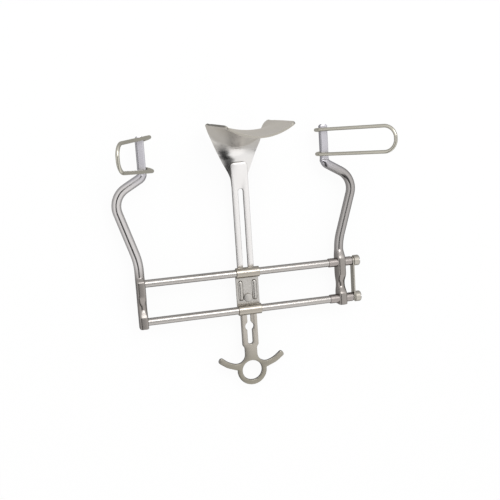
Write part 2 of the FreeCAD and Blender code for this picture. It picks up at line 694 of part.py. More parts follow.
def curved_strip(name, y, z, turn, half_width, rise):
    """One cross section: two arcs about one centre, closed by short radial ends."""
    section = sketch_on(saddle_blade, "XZ_Plane", name, (0, z, -y), tilt=turn)
    bend_radius = (half_width * half_width + rise * rise) / (rise * 2)
    centre = FreeCAD.Vector(0, -bend_radius.number, 0)
    spread = math.asin(half_width.number / bend_radius.number)
    up = FreeCAD.Vector(0, 0, 1)
    arcs = []
    for side_of_sheet in (1, -1):
        radius = bend_radius + saddle_thickness / 2 * side_of_sheet
        around = Part.Circle(centre, up, radius.number)
        arc = Part.ArcOfCircle(around, math.pi / 2 - spread, math.pi / 2 + spread)
        arcs.append(section.addGeometry(arc))
        bind(section, Sketcher.Constraint("Radius", arcs[-1], radius.number), radius)
        pin_point(section, arcs[-1], 3, 0, -bend_radius)
        for end, side in ((1, 1), (2, -1)):
            reach = half_width * radius / bend_radius * side
            bind(section, Sketcher.Constraint("DistanceX", -1, 1, arcs[-1], end, reach.number), reach)
    for end in (1, 2):
        points = [section.getPoint(arc, end) for arc in arcs]
        closing = section.addGeometry(Part.LineSegment(*points))
        section.addConstraint(Sketcher.Constraint("Coincident", closing, 1, arcs[0], end))
        section.addConstraint(Sketcher.Constraint("Coincident", closing, 2, arcs[1], end))
    return section


corner_rise = wing_rise(neck_bend_angle)
strips = []
for share, widening, lift in ((0, 0, 0.01), (1 / 3, 0.025, 0.012), (2 / 3, 0.145, 0.014)):
    strips.append((shaft_top - neck_lap * (1 - share), neck_z, measure(0),
                   neck_half + flare * widening, corner_rise * lift))
for share, widening, lift in (
        (0, 0.3, 0.016), (1 / 3, 0.44, 0.05), (2 / 3, 0.6, 0.21), (5 / 6, 0.71, 0.42), (1, 0.84, 0.74)):
    turn = neck_bend_angle * share
    strips.append((shaft_top + neck_bend_radius * sine(turn), neck_centre_z - neck_bend_radius * cosine(turn),
                   turn, neck_half + flare * widening, corner_rise * lift))
arch_steps = 10
for step in range(1, arch_steps + 1):
    turn = neck_bend_angle + arch_span * step / arch_steps
    strips.append((arch_centre_y + arch_radius * sine(turn), arch_centre_z - arch_radius * cosine(turn),
                   turn, neck_half + flare * (0.96 + 0.004 * step), wing_rise(turn)))
sections = [curved_strip(f"saddle_blade_strip_{i}", *strip) for i, strip in enumerate(strips, 1)]
saddle_loft = saddle_blade.newObject("PartDesign::AdditiveLoft", "saddle_blade_sheet")
saddle_loft.Profile = sections[0]
saddle_loft.Sections = sections[1:]
saddle_blade.Tip = saddle_loft
doc.recompute()

# The lip is trimmed in plan: its two corners are rounded and its middle stands out a little.
lip_half = full_half + saddle_thickness / 6
lip_y = arch_centre_y + arch_radius * sine(arch_end_angle)
lip_z = arch_centre_z - arch_radius * cosine(arch_end_angle) - lip_setback
trim = sketch_on(saddle_blade, "XZ_Plane", "saddle_blade_lip_trim", (0, 0, full_half - lip_y))
rounded(trim, [
    (-lip_half * 1.5, lip_z - lip_corner * 2, 0), (-lip_half, lip_z - lip_corner * 2, 0),
    (-lip_half, lip_z - lip_bulge, lip_corner), (0, lip_z + lip_bulge, full_half * 3),
    (lip_half, lip_z - lip_bulge, lip_corner), (lip_half, lip_z - lip_corner * 2, 0),
    (lip_half * 1.5, lip_z - lip_corner * 2, 0), (lip_half * 1.5, lip_z + full_half, 0),
    (-lip_half * 1.5, lip_z + full_half, 0),
], closed=True)
pocket(saddle_blade, "saddle_blade_lip", trim, full_half * 2)
place(saddle_blade, x=slide_x)


# Wire side blades: one wire, a long loop with a round nose whose ends hook round the tongue.
# Local X runs out along the blade, local Y up the tongue; the wire passes on the inner side.

def wire_blade(label, side, spread, radius, tilt, splay, tongue_x):
    """A wire loop with two hooks; side is -1 on the fixed arm and 1 on the sliding arm."""
    body = new_body(label)
    half = wire_diameter / 2
    tongue_half_diagonal = tongue_reach
    far_side = tongue_half_diagonal + hook_clearance + half
    near_side = radius * 2 * cosine(tilt) - far_side
    leg_z = side * near_side
    loop = sketch_on(body, "XY_Plane", f"{label}_loop", (0, 0, leg_z))
    rounded(loop, [
        (0, -spread / 2, 0), (blade_reach, -blade_tip_width / 2, nose_radius),
        (blade_reach, blade_tip_width / 2, nose_radius), (0, spread / 2, 0),
    ], closed=False)
    section = sketch_on(body, "YZ_Plane", f"{label}_loop_section")
    circle(section, -spread / 2, leg_z, half)
    pipe(body, f"{label}_loop_wire", section, loop)
    for name, end in (("upper", 1), ("lower", -1)):
        hook = sketch_on(body, "XZ_Plane", f"{label}_{name}_hook", (0, leg_z, -end * spread / 2),
                         tilt=tilt, tilt_sign=-side * end)
        up = FreeCAD.Vector(0, 0, 1)
        around = Part.Circle(FreeCAD.Vector(0, -side * radius.number, 0), up, radius.number)
        arc = hook.addGeometry(Part.ArcOfCircle(around, math.pi / 2, 3 * math.pi / 2))
        near_end, far_end = (1, 2) if side > 0 else (2, 1)
        bind(hook, Sketcher.Constraint("Radius", arc, radius.number), radius)
        hook.addConstraint(Sketcher.Constraint("PointOnObject", arc, 3, -2))
        pin_point(hook, arc, near_end, 0, 0)
        tail_y = -2 * side * radius
        tail = hook.addGeometry(Part.LineSegment(FreeCAD.Vector(0, tail_y.number, 0),
                                                 FreeCAD.Vector(hook_tail.number, tail_y.number, 0)))
        hook.addConstraint(Sketcher.Constraint("Tangent", arc, far_end, tail, 1))
        hook.addConstraint(Sketcher.Constraint("Horizontal", tail))
        bind(hook, Sketcher.Constraint("DistanceX", -1, 1, tail, 2, hook_tail.number), hook_tail)
        hook_section = sketch_on(body, "YZ_Plane", f"{label}_{name}_hook_section")
        circle(hook_section, end * spread / 2, leg_z, half)
        pipe(body, f"{label}_{name}_hook_wire", hook_section, hook)
    place(body, x=tongue_x, y=tongue_middle, z=-arm_set_back, turn=90 - side * splay)
    return body


tongue_reach = Measure(
    math.hypot(tongue_width.number, tongue_thickness.number) / 2,
    "(sqrt(sizes.tongue_width ^ 2 + sizes.tongue_thickness ^ 2) / 2)",
)
wire_blade("left_wire_blade", -1, left_hook_spread, left_hook_radius, left_hook_tilt, left_splay, tongue_inset)
wire_blade("right_wire_blade", 1, right_hook_spread, right_hook_radius, right_hook_tilt, right_splay,
           arm_opening - tongue_inset)

# Check every object, then write each body.
doc.recompute()
for item in doc.Objects:
    faults = [state for state in item.State if "Invalid" in state or "Error" in state]
    if faults:
        raise RuntimeError(f"{item.Label} failed: {item.State}")
os.makedirs("parts", exist_ok=True)
bodies = [item for item in doc.Objects if item.isDerivedFrom("PartDesign::Body")]
for body in bodies:
    if body.Shape.isNull() or not body.Shape.isValid() or len(body.Shape.Solids) != 1:
        raise RuntimeError(f"{body.Label} has no single valid solid")
    body.Shape.exportStep(f"parts/{body.Label}.step")
    print(body.Label, round(body.Shape.Volume, 1), body.Shape.BoundBox)
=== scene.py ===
"""Self-retaining abdominal retractor of polished and satin stainless steel, lying open on a pale floor."""

import bmesh
import bpy
import numpy as np
from mathutils import Matrix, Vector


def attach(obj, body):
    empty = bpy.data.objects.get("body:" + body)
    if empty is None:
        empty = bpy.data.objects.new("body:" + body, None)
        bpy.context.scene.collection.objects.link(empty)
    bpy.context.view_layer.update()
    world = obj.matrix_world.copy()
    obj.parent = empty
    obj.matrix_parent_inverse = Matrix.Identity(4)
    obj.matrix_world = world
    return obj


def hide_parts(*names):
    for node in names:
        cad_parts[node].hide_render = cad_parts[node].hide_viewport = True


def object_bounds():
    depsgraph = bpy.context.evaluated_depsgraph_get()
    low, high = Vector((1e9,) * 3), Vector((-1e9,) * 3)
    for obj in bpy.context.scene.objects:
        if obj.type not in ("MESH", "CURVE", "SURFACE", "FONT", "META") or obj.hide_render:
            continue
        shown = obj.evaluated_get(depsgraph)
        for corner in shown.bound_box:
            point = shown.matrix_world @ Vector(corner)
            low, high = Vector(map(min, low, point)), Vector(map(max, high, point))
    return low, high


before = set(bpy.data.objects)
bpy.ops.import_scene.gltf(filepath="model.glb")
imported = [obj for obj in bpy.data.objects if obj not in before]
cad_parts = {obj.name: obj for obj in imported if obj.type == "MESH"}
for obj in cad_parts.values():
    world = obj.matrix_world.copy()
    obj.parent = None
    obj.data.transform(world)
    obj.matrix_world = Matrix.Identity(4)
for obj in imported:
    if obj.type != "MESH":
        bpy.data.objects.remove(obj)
cad_box = [list(corner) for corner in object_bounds()]

# Fixed arm. A forged round bar, bent three times in one plane, with two flat bosses that stand
# forward and hold the rods, and a flat tongue at its top that carries the wire blade.
# It is satin ground across its length, which leaves fine rings round the bar.

ARM_PLANE = -3.0
ARM_RADIUS = 4.25
ARM_BENDS = ((0.0, 60.2, 55.0), (18.3, 119.2, 18.5), (-10.0, 135.5, 6.0))
TONGUE_LENGTH = 32.0
TONGUE_END = 170.9
TONGUE_OFFSET = 10.0


def bent_line(corners):
    """Points of a line through corners (x, y, radius): each corner of some radius becomes the arc that
    touches both of its runs, and the corners of no radius stay as they are."""
    corners = np.asarray(corners, float)
    pieces = []
    for i, (x, y, radius) in enumerate(corners):
        here = np.array([x, y])
        if radius <= 0:
            pieces.append(here[None])
            continue
        before = corners[i - 1][:2] - here
        after = corners[(i + 1) % len(corners)][:2] - here
        before /= np.linalg.norm(before)
        after /= np.linalg.norm(after)
        half = np.arccos(np.clip(before @ after, -1, 1)) / 2
        axis = (before + after) / np.linalg.norm(before + after)
        centre = here + axis * radius / np.sin(half)
        start = here + before * radius / np.tan(half) - centre
        end = here + after * radius / np.tan(half) - centre
        first = np.arctan2(start[1], start[0])
        sweep = (np.arctan2(end[1], end[0]) - first + np.pi) % (2 * np.pi) - np.pi
        turn = first + sweep * np.linspace(0, 1, 40)
        pieces.append(centre + radius * np.stack([np.cos(turn), np.sin(turn)], 1))
    return np.concatenate(pieces)


def distances(points):
    """How far along the line each of its points lies."""
    steps = np.linalg.norm(np.diff(points, axis=0), axis=1)
    return np.concatenate([[0.0], np.cumsum(steps)])


def evenly(points, step):
    """The same line, with points about one step apart."""
    along = distances(points)
    places = np.linspace(0, along[-1], int(along[-1] / step) + 1)
    return np.stack([np.interp(places, along, points[:, k]) for k in range(points.shape[1])], 1)


def eased(places, table):
    """Each column of a table of stations, carried from one station to the next on a smooth S curve."""
    table = np.asarray(table, float)
    at = np.clip(np.searchsorted(table[:, 0], places, side="right") - 1, 0, len(table) - 2)
    share = np.clip((places - table[at, 0]) / (table[at + 1, 0] - table[at, 0]), 0, 1)
    share = (share * share * (3 - 2 * share))[:, None]
    return table[at, 1:] * (1 - share) + table[at + 1, 1:] * share


def skin(name, grid, wrapped=True, capped=True, sharp=35.0):
    """A mesh over a grid of points in millimetres. Rows run along the piece and columns around it; a wrapped
    grid closes on itself and a capped one is shut at both ends by a fan round the row's middle.
    Its UV map holds the distance along and around in metres."""
    rows, columns = grid.shape[:2]
    points = grid.reshape(-1, 3)
    i, j = np.meshgrid(np.arange(rows - 1), np.arange(columns if wrapped else columns - 1), indexing="ij")
    i, j = i.ravel(), j.ravel()
    right = (j + 1) % columns
    quads = np.stack([i * columns + j, i * columns + right, (i + 1) * columns + right, (i + 1) * columns + j], 1)
    middle = grid.mean(1)
    along = distances(middle) if np.ptp(middle) > 0.01 else distances(grid[:, 0])
    widest = grid[np.argmax(np.ptp(grid, axis=1).sum(1))]
    around = distances(np.concatenate([widest, widest[:1]]))
    spots = np.stack([
        np.stack([along[i], along[i], along[i + 1], along[i + 1]], 1),
        np.stack([around[j], around[j + 1], around[j + 1], around[j]], 1),
    ], 2).reshape(-1, 2)
    faces = quads.tolist()
    if capped:
        ends = np.arange(columns)
        for row, centre in ((0, len(points)), (rows - 1, len(points) + 1)):
            first = row * columns
            fan = np.stack([first + ends, first + (ends + 1) % columns, np.full(columns, centre)], 1)
            faces += fan.tolist()
            reach = np.linalg.norm(grid[row] - middle[row], axis=1)
            ring = np.stack([along[row] + reach, around[:columns]], 1)
            nearby = np.stack([np.full(columns, along[row]), around[:columns]], 1)
            spots = np.concatenate([spots, np.stack([ring, np.roll(ring, -1, 0), nearby], 1).reshape(-1, 2)])
        points = np.concatenate([points, middle[[0]], middle[[-1]]])
    mesh = bpy.data.meshes.new(name)
    mesh.from_pydata((points * 0.001).tolist(), [], faces)
    mesh.uv_layers.new(name="UVMap").data.foreach_set("uv", (spots * 0.001).ravel())
    return finished(name, mesh, sharp)


def finished(name, mesh, sharp):
    """Doubles merged, faces turned outwards, smooth but for the edges sharper than an angle, and shown."""
    shell = bmesh.new()
    shell.from_mesh(mesh)
    bmesh.ops.remove_doubles(shell, verts=shell.verts, dist=1e-6)
    bmesh.ops.recalc_face_normals(shell, faces=shell.faces)
    shell.to_mesh(mesh)
    shell.free()
    mesh.shade_smooth()
    mesh.set_sharp_from_angle(angle=np.radians(sharp))
    piece = bpy.data.objects.new(name, mesh)
    bpy.context.scene.collection.objects.link(piece)
    return piece


def steel(name, colour, shade, roughness, spread, streaks, depth, edge, grain=45.0):
    """Stainless steel. Streaks is how many grinding lines there are per metre along and around the piece, and
    depth how deep they are; colour wanders to shade in soft patches, grain of them per metre, and roughness by
    its spread."""
    material = bpy.data.materials.new(name)
    material.use_nodes = True
    nodes, links = material.node_tree.nodes, material.node_tree.links
    metal = nodes["Principled BSDF"]
    metal.inputs["Metallic"].default_value = 1.0
    metal.inputs["Specular Tint"].default_value = (*edge, 1)
    place = nodes.new("ShaderNodeTexCoord")
    stretch = nodes.new("ShaderNodeMapping")
    stretch.inputs["Scale"].default_value = (streaks[0], streaks[1], 1)
    links.new(place.outputs["UV"], stretch.inputs["Vector"])
    lines = nodes.new("ShaderNodeTexNoise")
    lines.inputs["Scale"].default_value = 1.0
    lines.inputs["Detail"].default_value = 3.0
    links.new(stretch.outputs["Vector"], lines.inputs["Vector"])
    patches = nodes.new("ShaderNodeTexNoise")
    patches.inputs["Scale"].default_value = grain
    patches.inputs["Detail"].default_value = 2.0
    links.new(place.outputs["Object"], patches.inputs["Vector"])
    tint = nodes.new("ShaderNodeMix")
    tint.data_type = "RGBA"
    tint.inputs[6].default_value = (*colour, 1)
    tint.inputs[7].default_value = (*shade, 1)
    links.new(patches.outputs["Fac"], tint.inputs["Factor"])
    links.new(tint.outputs[2], metal.inputs["Base Color"])
    satin = nodes.new("ShaderNodeMapRange")
    satin.inputs["From Min"].default_value = 0.3
    satin.inputs["From Max"].default_value = 0.7
    satin.inputs["To Min"].default_value = roughness - spread
    satin.inputs["To Max"].default_value = roughness + spread
    links.new(lines.outputs["Fac"], satin.inputs["Value"])
    links.new(satin.outputs["Result"], metal.inputs["Roughness"])
    relief = nodes.new("ShaderNodeBump")
    relief.inputs["Strength"].default_value = 0.08
    relief.inputs["Distance"].default_value = depth
    links.new(lines.outputs["Fac"], relief.inputs["Height"])
    links.new(relief.outputs["Normal"], metal.inputs["Normal"])
    return material


def finish_and_painted_shade_from(material, axis, start, end, colour, roughness):
    """Another colour and roughness on part of a piece, for a change of finish and for painted light and shade:
    the colour and roughness hold up to the start along an axis, and pass smoothly to the steel's own at the end."""
    nodes, links = material.node_tree.nodes, material.node_tree.links
    metal = nodes["Principled BSDF"]
    own_colour = metal.inputs["Base Color"].links[0].from_socket
    own_roughness = metal.inputs["Roughness"].links[0].from_socket
    place = nodes.new("ShaderNodeTexCoord")
    split = nodes.new("ShaderNodeSeparateXYZ")
    links.new(place.outputs["Object"], split.inputs["Vector"])
    fall = nodes.new("ShaderNodeMapRange")
    fall.interpolation_type = "SMOOTHSTEP"
    fall.inputs["From Min"].default_value = start
    fall.inputs["From Max"].default_value = end
    links.new(split.outputs[axis], fall.inputs["Value"])
    both = nodes.new("ShaderNodeMix")
    both.data_type = "RGBA"
    both.inputs[6].default_value = (*colour, 1)
    links.new(fall.outputs["Result"], both.inputs["Factor"])
    links.new(own_colour, both.inputs[7])
    links.new(both.outputs[2], metal.inputs["Base Color"])
    satin = nodes.new("ShaderNodeMix")
    satin.inputs[2].default_value = roughness
    links.new(fall.outputs["Result"], satin.inputs["Factor"])
    links.new(own_roughness, satin.inputs[3])
    links.new(satin.outputs[0], metal.inputs["Roughness"])


def stands_for(piece, node, body, material):
    """A piece in its material, riding on its body in place of its CAD node."""
    piece.data.materials.append(material)
    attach(piece, body)
    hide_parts(node)


# Sections of the bar: half width, reach to the front and to the back, and squareness.
BAR_SECTION = (ARM_RADIUS, ARM_RADIUS, ARM_RADIUS, 2.0)
TONGUE_SECTION = (3.6, 2.8, 2.8, 9.0)
TONGUE_TIP = (2.3, 2.4, 2.4, 5.0)
FIXED_BLOCK = (4.05, 7.4, ARM_RADIUS, 6.0)


def ringed_section(half_width, front, back, squareness, columns):
    """Offsets across and forward of a rounded box: a superellipse whose front and back reach differ.
    A squareness of 2 is an ellipse, and a higher one a box with rounded corners."""
    turn = np.linspace(0, 2 * np.pi, columns, endpoint=False) + np.pi / 4
    cos, sin = np.cos(turn)[None], np.sin(turn)[None]
    power = 2 / squareness[:, None]
    across = half_width[:, None] * np.sign(cos) * np.abs(cos) ** power
    reach = np.where(sin > 0, front[:, None], back[:, None])
    return across, reach * np.sign(sin) * np.abs(sin) ** power


def arm(name, start_x, outward, bosses):
    """The bar's rounded-box section is carried along its bent centre line; its four sizes follow a table of
    stations by the distance along the bar."""
    corners = [(0, 0, 0)] + [(outward * x, y, r) for x, y, r in ARM_BENDS]
    corners += [(-outward * TONGUE_OFFSET, TONGUE_END, 0)]
    line = evenly(bent_line(corners), 0.4)
    along = distances(line)
    neck = along[-1] - TONGUE_LENGTH
    stations = bosses + [(neck - 2.0, *BAR_SECTION), (neck + 0.6, *TONGUE_SECTION),
                         (along[-1] - 1.5, *TONGUE_SECTION), (along[-1], *TONGUE_TIP)]
    half_width, front, back, squareness = eased(along, stations).T
    across, forward = ringed_section(half_width, front, back, squareness, 88)
    heading = np.gradient(line, axis=0)
    heading /= np.linalg.norm(heading, axis=1)[:, None]
    sideways = np.stack([heading[:, 1], -heading[:, 0]], 1)
    grid = np.zeros((*across.shape, 3))
    grid[..., 0] = start_x + line[:, None, 0] + sideways[:, None, 0] * across
    grid[..., 1] = line[:, None, 1] + sideways[:, None, 1] * across
    grid[..., 2] = ARM_PLANE + forward
    return skin(name, grid)


def arm_finish_and_painted_shade(name, bar_colour, bar_roughness):
    """Steel that is ground and bluish on the tongue and brushed finer on the bar, where it takes the colour given
    for its arm: painted light and shade that make one arm's bar lighter than the other's. Lower down, at the
    bosses, it is painted darker: painted shade.
    """
    material = steel(name, (0.51, 0.50, 0.54), (0.48, 0.47, 0.50), 0.25, 0.015, (500, 30), 0.000006,
                     (0.45, 0.45, 0.45))
    # Painted light and shade: below the tongue the bar takes the colour given for its arm.
    finish_and_painted_shade_from(material, "Y", 0.124, 0.140, bar_colour, bar_roughness)
    # Painted shade: lower down, at the bosses, a darker colour.
    finish_and_painted_shade_from(material, "Y", 0.040, 0.060, (0.31, 0.287, 0.27), 0.27)
    return material


fixed_arm = arm("fixed_arm_forging", 0.0, -1, [
    (0.0, 3.5, 6.9, 3.8, 5.0), (0.5, *FIXED_BLOCK), (9.6, *FIXED_BLOCK), (18.5, *BAR_SECTION),
    (20.5, *BAR_SECTION), (31.0, *FIXED_BLOCK), (42.4, *FIXED_BLOCK), (47.2, *BAR_SECTION),
])
# Painted light and shade: the fixed arm's bar is given a lighter colour than the sliding arm's.
ground_steel_painted_light_and_shade = arm_finish_and_painted_shade("ground_steel_painted_light_and_shade", (0.59, 0.57, 0.565), 0.17)
stands_for(fixed_arm, "fixed_arm", "frame", ground_steel_painted_light_and_shade)

# Rods. Two straight drawn rods, pressed into the fixed arm and screwed to the bar at their far ends.
# They are polished along their length.

LOWER_ROD_Y = 5.9
UPPER_ROD_Y = 40.9
RODS = (("upper", UPPER_ROD_Y), ("lower", LOWER_ROD_Y))
ROD_START = -2.75
ROD_END = 201.2
ROD_RADIUS = 3.5


def turned(name, profile, centre, axis, columns=64):
    """A profile of (distance along the axis, radius) turned all the way round; it starts and ends at the axis
    or is a closed ring."""
    profile = np.asarray(profile, float)
    turn = np.linspace(0, 2 * np.pi, columns, endpoint=False)
    along = np.repeat(profile[:, 0][:, None], columns, 1)
    first, second = profile[:, 1][:, None] * np.cos(turn), profile[:, 1][:, None] * np.sin(turn)
    order = {"x": (along, first, second), "z": (first, second, along)}[axis]
    return skin(name, np.stack(order, 2) + np.asarray(centre, float), capped=False, sharp=30.0)


drawn_steel = steel("drawn_steel", (0.44, 0.42, 0.405), (0.415, 0.395, 0.375), 0.26, 0.008, (12, 300), 0.000001,
                    (0.4, 0.4, 0.4))
for level, height in RODS:
    rod = turned(f"{level}_drawn_rod", [
        (ROD_START, 0), (ROD_START, ROD_RADIUS - 0.4), (ROD_START + 0.4, ROD_RADIUS), (60, ROD_RADIUS),
        (130, ROD_RADIUS), (ROD_END - 0.3, ROD_RADIUS), (ROD_END, ROD_RADIUS - 0.3), (ROD_END, 0),
    ], (0, height, 0), "x")
    stands_for(rod, f"{level}_rod", "frame", drawn_steel)

# Stop bar and its screws. A flat strip with round ends stands across the rods' far ends, held by two
# thick round-headed screws with a straight slot each.

STOP_BAR_THICKNESS = 1.6
STOP_BAR_HALF = 3.8
STOP_BAR_CORNER = 3.4
SEAT_X = ROD_END + STOP_BAR_THICKNESS
HEAD_RADIUS = 5.0
HEAD_HEIGHT = 6.3
GROOVE_HALF = 0.7


def plate(name, outlines, thickness, bevel, placed):
    """A flat plate: closed outlines in millimetres, the first one outside and the rest its holes, filled,
    thickened evenly both ways and rounded along every edge, then carried to its place by a matrix."""
    drawing = bpy.data.curves.new(name, "CURVE")
    drawing.dimensions = "2D"
    drawing.fill_mode = "BOTH"
    drawing.extrude = thickness / 2 - bevel
    drawing.bevel_depth = bevel
    drawing.bevel_resolution = 3
    drawing.offset = -bevel
    for outline in outlines:
        spline = drawing.splines.new("POLY")
        spline.points.add(len(outline) - 1)
        flat = np.zeros((len(outline), 4))
        flat[:, :2] = outline
        flat[:, 3] = 1
        spline.points.foreach_set("co", flat.ravel())
        spline.use_cyclic_u = True
    holder = bpy.data.objects.new(name + "_drawing", drawing)
    bpy.context.scene.collection.objects.link(holder)
    mesh = bpy.data.meshes.new_from_object(holder.evaluated_get(bpy.context.evaluated_depsgraph_get()))
    bpy.data.objects.remove(holder)
    mesh.transform(Matrix.Scale(0.001, 4) @ placed)
    while mesh.uv_layers:
        mesh.uv_layers.remove(mesh.uv_layers[0])
    spots = np.zeros(len(mesh.vertices) * 3)
    mesh.vertices.foreach_get("co", spots)
    corners = np.zeros(len(mesh.loops), int)
    mesh.loops.foreach_get("vertex_index", corners)
    flat = spots.reshape(-1, 3)[corners][:, [1, 0]]
    mesh.uv_layers.new(name="UVMap").data.foreach_set("uv", flat.ravel())
    return finished(name, mesh, 50.0)


trim_steel = steel("trim_steel", (0.47, 0.445, 0.40), (0.41, 0.39, 0.345), 0.3, 0.05, (700, 700), 0.00001,
                   (0.45, 0.45, 0.45))
low_end, high_end = LOWER_ROD_Y - STOP_BAR_HALF, UPPER_ROD_Y + STOP_BAR_HALF
strip = bent_line([
    (low_end, -STOP_BAR_HALF, STOP_BAR_CORNER), (high_end, -STOP_BAR_HALF, STOP_BAR_CORNER),
    (high_end, STOP_BAR_HALF, STOP_BAR_CORNER), (low_end, STOP_BAR_HALF, STOP_BAR_CORNER),
])
upright = Matrix(((0, 0, 1, ROD_END + STOP_BAR_THICKNESS / 2), (1, 0, 0, 0), (0, 1, 0, 0), (0, 0, 0, 1)))
stop_bar = plate("stop_bar_strip", [strip], STOP_BAR_THICKNESS, 0.3, upright)
stands_for(stop_bar, "end_bar", "frame", trim_steel)

screw_steel = steel("screw_steel", (0.50, 0.475, 0.43), (0.44, 0.415, 0.37), 0.26, 0.03, (300, 300), 0.00001,
                    (0.6, 0.6, 0.58))
for level, height in RODS:
    dome = np.linspace(0, np.pi / 2, 14)
    outer = np.concatenate([
        [(-11.5, 0), (-11.5, 1.7), (-11.2, 2.0), (0, 2.0), (0, 4.6), (0.4, HEAD_RADIUS), (4.0, HEAD_RADIUS)],
        np.stack([HEAD_HEIGHT - 1.9 + 1.9 * np.sin(dome), HEAD_RADIUS * np.cos(dome) ** 0.62], 1),
    ])
    head = turned(f"{level}_slotted_screw", outer, (SEAT_X, height, 0), "x", columns=72)
    groove_corners = [(-8, -GROOVE_HALF), (8, -GROOVE_HALF), (8, GROOVE_HALF), (-8, GROOVE_HALF)]
    along_z = Matrix(((0, 0, 1, SEAT_X + HEAD_HEIGHT - 0.2), (0.2, -0.98, 0, height), (0.98, 0.2, 0, 0),
                      (0, 0, 0, 1)))
    cutter = plate(f"{level}_screw_cutter", [groove_corners], 3.0, 0.05, along_z)
    groove = head.modifiers.new("slot", "BOOLEAN")
    groove.object = cutter
    groove.solver = "EXACT"
    shaped = bpy.data.meshes.new_from_object(head.evaluated_get(bpy.context.evaluated_depsgraph_get()))
    head.modifiers.clear()
    head.data = shaped
    bpy.data.objects.remove(cutter)
    shaped.set_sharp_from_angle(angle=np.radians(30))
    stands_for(head, f"{level}_end_screw", "frame", screw_steel)

# Wire blades. Each is one round wire: a long loop with a round nose, whose two ends hook round the arm's
# tongue and end beside it. The wire is polished and a little warmer in colour than the arms.

WIRE_RADIUS = 1.6
LOOP_LENGTH = 72.5
NOSE_HALF = 11.4
NOSE_RADIUS = 10.8
HOOK_TURN = 150.0
TONGUE_MIDDLE = 154.9
TONGUE_HALF_DIAGONAL = np.hypot(7.2, 5.6) / 2


def wire_blade(name, side, spread, hook_radius, hook_tilt, splay, tongue_x):
    """A circle carried along hook, leg, nose, leg and hook. The hooks are nearly half circles in planes
    that lean towards each other; the whole loop is swung about the tongue by its splay."""
    tilt = np.radians(hook_tilt)
    far = TONGUE_HALF_DIAGONAL + 0.25 + WIRE_RADIUS
    leg_plane = side * (hook_radius * 2 * np.cos(tilt) - far)
    loop = bent_line([(0, -spread / 2, 0), (LOOP_LENGTH, -NOSE_HALF, NOSE_RADIUS),
                      (LOOP_LENGTH, NOSE_HALF, NOSE_RADIUS), (0, spread / 2, 0)])
    turn = np.linspace(np.radians(HOOK_TURN), 0, 44)
    ends = []
    for end in (-1, 1):
        inwards = -side * hook_radius * (1 - np.cos(turn))
        hook = np.stack([-hook_radius * np.sin(turn), end * spread / 2 + inwards * side * end * np.sin(tilt),
                         inwards * np.cos(tilt)], 1)
        ends.append(hook[:-1])
    flat_loop = np.concatenate([loop, np.zeros((len(loop), 1))], 1)
    line = evenly(np.concatenate([ends[0], flat_loop, ends[1][::-1]]), 0.5)
    along = distances(line)
    heading = np.gradient(line, axis=0)
    heading /= np.linalg.norm(heading, axis=1)[:, None]
    on_loop = np.clip((line[:, 0] - 4) / 12, 0, 1)[:, None]
    towards = np.where(along[:, None] < along[-1] / 2, 1.0, -1.0)
    guide = on_loop * np.array([[0, 0, 1.0]]) + (1 - on_loop) * towards * np.array([[0, 1.0, 0]])
    first = np.cross(heading, guide)
    first /= np.linalg.norm(first, axis=1)[:, None]
    second = np.cross(heading, first)
    from_end = np.minimum(along, along[-1] - along)
    radius = WIRE_RADIUS * np.sqrt(np.clip(1 - (1 - np.clip(from_end / 0.9, 0, 1)) ** 2, 0.02, 1))
    turn = np.linspace(0, 2 * np.pi, 28, endpoint=False)
    ring = first[:, None] * np.cos(turn)[None, :, None] + second[:, None] * np.sin(turn)[None, :, None]
    local = line[:, None] + ring * radius[:, None, None] + np.array([0, 0, leg_plane])
    swing = np.radians(90 - side * splay)
    grid = np.stack([
        tongue_x + local[..., 0] * np.cos(swing) - local[..., 2] * np.sin(swing),
        TONGUE_MIDDLE + local[..., 1],
        ARM_PLANE + local[..., 0] * np.sin(swing) + local[..., 2] * np.cos(swing),
    ], 2)
    return skin(name, grid)


wire_steel = steel("wire_steel", (0.55, 0.53, 0.465), (0.49, 0.47, 0.41), 0.18, 0.015, (30, 500), 0.000002,
                   (0.75, 0.74, 0.70))
left_wire = wire_blade("left_wire_loop", -1, 29.8, 8.1, 14.0, 28.0, TONGUE_OFFSET)
stands_for(left_wire, "left_wire_blade", "left_blade", wire_steel)

# Sliding arm. The mirror of the fixed arm with thicker bosses, into which two sleeves are brazed that
# run on the rods. Its bar is rougher than the fixed arm's and painted darker: painted shade.
# Its wire blade hooks on in the same way.

ARM_OPENING = 190.0
SLIDING_BLOCK = (4.35, 8.1, ARM_RADIUS, 4.5)
sliding_arm = arm("sliding_arm_forging", ARM_OPENING, 1, [
    (0.0, 3.8, 7.6, 3.8, 4.0), (0.5, *SLIDING_BLOCK), (10.2, *SLIDING_BLOCK), (18.5, *BAR_SECTION),
    (20.5, *BAR_SECTION), (30.5, *SLIDING_BLOCK), (44.0, *SLIDING_BLOCK), (54.0, *BAR_SECTION),
])
# Painted shade: the sliding arm's bar is given a darker colour than the fixed arm's.
sliding_arm_steel = arm_finish_and_painted_shade("sliding_arm_steel", (0.39, 0.372, 0.363), 0.22)
stands_for(sliding_arm, "sliding_arm", "moving_arm", sliding_arm_steel)

sleeve_steel = steel("sleeve_steel", (0.38, 0.35, 0.335), (0.33, 0.30, 0.285), 0.28, 0.04, (500, 500), 0.00001,
                     (0.42, 0.42, 0.42))
for level, height in RODS:
    inner, outer, low, high = ROD_RADIUS + 0.06, 4.25, ARM_OPENING - 12.4, ARM_OPENING + 10.6
    sleeve = turned(f"{level}_brazed_sleeve", [
        (low, inner), (low, outer - 0.3), (low + 0.3, outer), (high - 0.3, outer), (high, outer - 0.3),
        (high, inner), (low, inner),
    ], (0, height, 0), "x")
    stands_for(sleeve, f"{level}_sleeve", "moving_arm", sleeve_steel)

